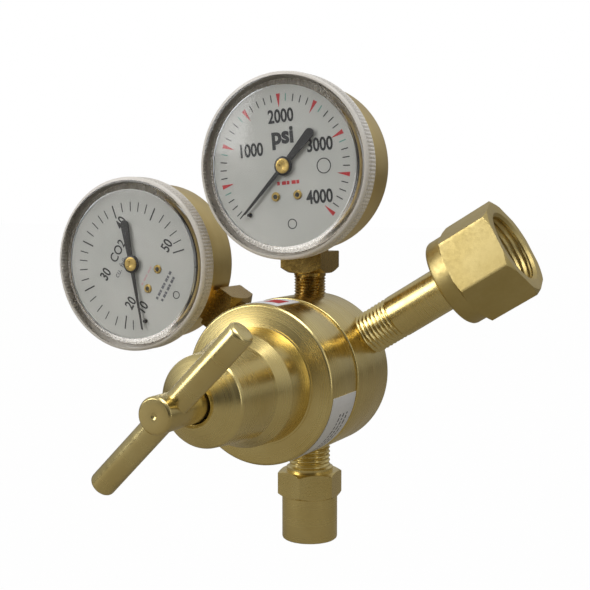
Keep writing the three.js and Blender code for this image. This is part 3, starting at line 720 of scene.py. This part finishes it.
def make_tank_dial():
    place = dial_place("tank", 5)
    scale_place = place @ Matrix.Translation((-0.35 * MM, -0.2 * MM, 0))
    step = 270 / 40
    major = [-135 + step * index for index in range(0, 41, 5)]
    minor = [-135 + step * index for index in range(1, 40) if index % 5]
    green = [-135 + step * index for index in (4, 9, 14, 21, 26, 31)]
    black = [turn for turn in minor if turn not in green]
    wedges = [mark(22.6, 18.5, turn, 1.4, 0.1) for turn in major[1:]]
    print_marks("tank_red_wedges", wedges, scale_place, print_red)
    black_ticks = [mark(22.5, 20.2, turn, 0.32, 0.32) for turn in black]
    print_marks("tank_ticks", black_ticks, scale_place, print_black)
    green_ticks = [mark(22.5, 20.2, turn, 0.32, 0.32) for turn in green]
    print_marks("tank_green_ticks", green_ticks, scale_place, print_green)
    words = [("1000", (-11.4, 5.8)), ("2000", (0.0, 15.3)), ("3000", (12.5, 5.2)), ("4000", (11.2, -10.6))]
    for word, point in words:
        print_word(f"tank_{word}", word, point, 5.7, place, print_black, weight=0.15, narrow=0.78)
    print_word("tank_unit", "psi", (0.1, 9.3), 7.2, place, print_black, weight=0.28, narrow=0.98)
    print_bars("tank_red_bars", [(1.2, -5.2, 8.4, 1.1, 5)], place, print_red)
    print_ring("tank_ring_right", (13.4, -1.2), 2.4, 0.3, place, print_black)
    print_ring("tank_ring_low", (1.2, -18.0), 1.6, 0.3, place, print_black)


def make_flow_dial():
    place = dial_place("flow")
    scale_place = place @ Matrix.Translation((-0.8 * MM, 0, 0))
    numbered = {-131: "10", -113: "20", -56: "30", -9: "35", 38: "40", 85: "45", 133: "50"}
    plain = [-122, -102, -90, -79, -67, -46, -36, -27, -18.5]
    plain += [1, 11, 20, 28, 48, 58, 67, 76, 96, 105, 115, 124]
    long_marks = [mark(21.4, 16.9, turn, 0.45, 0.45) for turn in numbered]
    print_marks("flow_long_ticks", long_marks, scale_place, print_black)
    short_marks = [mark(21.4, 18.2, turn, 0.32, 0.32) for turn in plain]
    print_marks("flow_ticks", short_marks, scale_place, print_black)
    words = {"10": (15.0, -136), "20": (13.2, -117), "30": (11.6, -50), "40": (14.3, 41), "50": (15.0, 124)}
    for word, (reach, turn) in words.items():
        point = polar(reach, turn)
        print_word(f"flow_{word}", word, point, 5.0, place, print_black, weight=0.10, narrow=0.78)
    print_word("flow_gas", "CO2", (0.5, 7.2), 4.6, place, print_black, weight=0.05, narrow=0.88)
    print_word("flow_unit", "cu. ft/h", (-3.4, 3.4), 3.0, place, print_grey, narrow=0.95)
    print_bars("flow_bars", [(0.6, -13.9, 11.0, 0.9, 8), (0.6, -15.9, 10.0, 0.9, 7)], place, print_grey)
    print_bars("flow_red_bars", [(-0.1, -6.6, 8.0, 0.6, 5)], place, print_pink)
    print_ring("flow_ring", (0.4, -19.6), 1.3, 0.28, place, print_black)


def make_hub(name):
    outline = eased([
        (0, 19.24), (2.3, 19.24), (2.3, 19.33), (2.0, 19.37), (0.75, 19.37), (0.6, 19.3), (0, 19.3)], 0.03)
    finish_mesh(f"{name}_hub_cap", revolve(outline, 48), dial_place(name), hub_brass, f"{name}_needle")


def make_needle_blade(name):
    """A thin blade on the needle's arm, drawn out to the end of the ticks."""
    inverse = dial_place(name).inverted()
    points = [inverse @ vertex.co / MM for vertex in nodes[f"{name}_pointer"].data.vertices]
    tip = max(points, key=lambda point: math.hypot(point.x, point.y))
    along = Vector((tip.x, tip.y)).normalized()
    side = Vector((-along.y, along.x))
    root, end = along * 2.4, along * NEEDLE_REACH
    outline = [root + side * 0.62, root - side * 0.62, end - side * 0.16, end + side * 0.16]
    blade = prism(outline, tip.z - 0.04, tip.z + 0.05)
    finish_mesh(f"{name}_needle_blade", blade, dial_place(name), black_paint, f"{name}_needle")


def make_screw_sockets(name):
    """A thin dark disc of painted shade in the hole of each of the two screws that hold the dial."""
    inverse = dial_place(name).inverted()
    for side in ("left", "right"):
        node = f"{name}_dial_screw_{side}"
        place = inverse @ middle(node) / MM
        top = max((inverse @ vertex.co).z for vertex in nodes[node].data.vertices) / MM
        # A dark disc of painted shade over the screw's hole.
        mesh = revolve([(0, top), (0.72, top), (0.72, top + 0.03), (0, top + 0.03)], 32)
        bmesh.ops.translate(mesh, vec=(place.x * MM, place.y * MM, 0), verts=mesh.verts)
        finish_mesh(f"{name}_screw_hole_shade_{side}", mesh, dial_place(name), rim_shadow, "regulator")


def make_inner_rings(name):
    """The thin bright edge that shows through the window round the dial, and a dark ring of painted shade
    in the gap beside it.
    """
    bright = eased([(25.25, 17.6), (25.25, 18.15), (25.5, 18.15), (25.5, 17.6)], 0.06)
    finish_mesh(f"{name}_bright_ring", revolve(bright, 144), dial_place(name), steel, "regulator")
    # A dark ring of painted shade for the gap between the bright edge and the rolled edge.
    dark = eased([(25.55, 17.0), (25.55, 18.0), (25.8, 17.9), (25.8, 17.0)], 0.06)
    finish_mesh(f"{name}_shade_ring", revolve(dark, 144), dial_place(name), rim_shadow, "regulator")
    edge = eased([(25.85, 17.0), (25.85, 17.85), (26.2, 17.5), (26.45, 17.0)], 0.06)
    finish_mesh(f"{name}_rolled_edge", revolve(edge, 144), dial_place(name), case_brass, "regulator")


def paint_node(node, material):
    data = nodes[node].data
    data.materials.clear()
    data.materials.append(material)


def make_gauge(name):
    make_case(name)
    make_socket(name)
    make_lens(name)
    make_hub(name)
    make_needle_blade(name)
    make_screw_sockets(name)
    make_inner_rings(name)
    finishes = {
        "dial": dial_paint, "pointer": black_paint, "stop_pin": black_paint, "dial_screw_left": hub_brass,
        "dial_screw_right": hub_brass, "sector_gear": hidden_brass, "link": hidden_brass,
        "movement_frame": hidden_brass, "bourdon_tube": socket_brass,
    }
    for piece, material in finishes.items():
        paint_node(f"{name}_{piece}", material)


# ---------------------------------------------------------------- studio

def floor_paper():
    """Pale paper, lit up where it is looked at directly so that it stays pale."""
    material, tree, shader = new_material("floor_paper")
    mottle = add(tree, "ShaderNodeGroup", node_tree=mottle_group)
    colour = ramp(tree, mottle.outputs["Cloud"], 0.3, 0.7, (0.28, 0.255, 0.205), (0.31, 0.285, 0.235))
    tree.links.new(colour, shader.inputs["Base Color"])
    tree.links.new(between(tree, mottle.outputs["Speck"], 0.85, 0.95), shader.inputs["Roughness"])
    path = add(tree, "ShaderNodeLightPath")
    share = add(tree, "ShaderNodeMath", {0: path.outputs["Is Camera Ray"], 1: 0.99}, operation="MULTIPLY")
    glow = add(tree, "ShaderNodeEmission", {0: (1, 1, 1, 1), 1: 1.0})
    mix = add(tree, "ShaderNodeMixShader", {0: share.outputs[0], 1: shader.outputs[0], 2: glow.outputs[0]})
    tree.links.new(mix.outputs[0], tree.nodes["Material Output"].inputs["Surface"])
    return material


def make_floor():
    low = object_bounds()[0]
    size = 6.0
    height = low[2] - 0.045
    mesh = bmesh.new()
    corners = ((-1, -1), (1, -1), (1, 1), (-1, 1))
    mesh.faces.new([mesh.verts.new((x * size, y * size, height)) for x, y in corners])
    data = bpy.data.meshes.new("floor")
    mesh.to_mesh(data)
    mesh.free()
    data.materials.append(floor_paper())
    floor = bpy.data.objects.new("floor", data)
    bpy.context.scene.collection.objects.link(floor)


def make_light(name, place, target, size, power, colour=(1, 1, 1)):
    data = bpy.data.lights.new(name, "AREA")
    data.shape = "RECTANGLE"
    data.size, data.size_y = size
    data.energy = power
    data.color = colour
    light = bpy.data.objects.new(name, data)
    bpy.context.scene.collection.objects.link(light)
    light.location = place
    light.rotation_euler = (Vector(target) - Vector(place)).to_track_quat("-Z", "Y").to_euler()


def make_studio():
    world = bpy.data.worlds.new("studio")
    bpy.context.scene.world = world
    world.use_nodes = True
    tree = world.node_tree
    background = tree.nodes["Background"]
    place = add(tree, "ShaderNodeTexCoord")
    split = add(tree, "ShaderNodeSeparateXYZ", {0: place.outputs["Generated"]})
    upward = add(tree, "ShaderNodeMapRange", {0: split.outputs[2], 1: -0.25, 2: 0.45})
    towards_reader = add(tree, "ShaderNodeVectorMath", {
        0: place.outputs["Generated"], 1: (0.4447, -0.8919, 0.0)}, operation="DOT_PRODUCT")
    dark_side = add(tree, "ShaderNodeMapRange", {0: towards_reader.outputs["Value"], 1: 0.95, 2: 0.3})
    height_tone = ramp(tree, upward.outputs[0], 0.0, 1.0, (0.19, 0.175, 0.14), (1, 1, 1))
    tone = ramp(tree, dark_side.outputs[0], 0.0, 1.0, (0.16, 0.155, 0.15), (1, 1, 1))
    colour = add(tree, "ShaderNodeMix", {
        0: 1.0, 6: height_tone, 7: tone}, data_type="RGBA", blend_type="MULTIPLY")
    tree.links.new(colour.outputs[2], background.inputs[0])
    background.inputs[1].default_value = 0.5
    seen = add(tree, "ShaderNodeBackground", {0: (1, 1, 1, 1), 1: 1.0})
    path = add(tree, "ShaderNodeLightPath")
    mix = add(tree, "ShaderNodeMixShader", {
        0: path.outputs["Is Camera Ray"], 1: background.outputs[0], 2: seen.outputs[0]})
    tree.links.new(mix.outputs[0], tree.nodes["World Output"].inputs["Surface"])
    target = centre
    make_light("left_window", centre + Vector((-0.7, -0.75, 0.45)), target, (0.5, 0.7), 4.4)
    make_light("top_window", centre + Vector((0.25, -0.25, 0.9)), target, (0.7, 0.5), 4.0)
    make_light("right_window", centre + Vector((0.9, -0.35, 0.15)), target, (0.22, 0.8), 0.6)
    bpy.context.scene.view_settings.view_transform = "Standard"


def make_camera():
    """A level camera to the right of the screw, a little above it."""
    place = centre + Vector((161.57, -334.95, 54.89)) * MM
    back = Vector((0.4447, -0.8919, 0.0817)).normalized()
    right = Vector((0, 0, 1)).cross(back).normalized()
    data = bpy.data.cameras.new("camera")
    data.lens = 69.91
    data.sensor_width = 36
    data.clip_start = 0.01
    camera = bpy.data.objects.new("camera", data)
    bpy.context.scene.collection.objects.link(camera)
    camera.matrix_world = frame_at(place, right, back)
    bpy.context.scene.camera = camera


def make_spring(node):
    """A steel copy of a coil in the same place, with the imported coil hidden."""
    data = nodes[node].data.copy()
    data.transform(nodes[node].matrix_world)
    data.materials.clear()
    data.materials.append(steel)
    coil = bpy.data.objects.new(f"{node}_coil", data)
    bpy.context.scene.collection.objects.link(coil)
    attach(coil, "regulator")
    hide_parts(node)
    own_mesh(coil)


def make_inner_parts():
    finishes = {
        "spring_button": steel, "diaphragm_plate": steel, "valve_stem": steel, "diaphragm": rubber,
        "slip_ring": hidden_brass, "seat_nozzle": hidden_brass,
        "inlet_filter": socket_brass, "inlet_washer": nylon, "outlet_orifice": socket_brass,
    }
    for node, material in finishes.items():
        paint_node(node, material)


make_inner_parts()
make_spring("range_spring")
make_spring("poppet_spring")
make_body()
make_bonnet()
make_screw()
make_bar()
make_nipple()
make_nut()
make_outlet()
make_stickers()
for gauge_name in ("tank", "flow"):
    make_gauge(gauge_name)
make_tank_dial()
make_flow_dial()
make_floor()
make_studio()
make_camera()
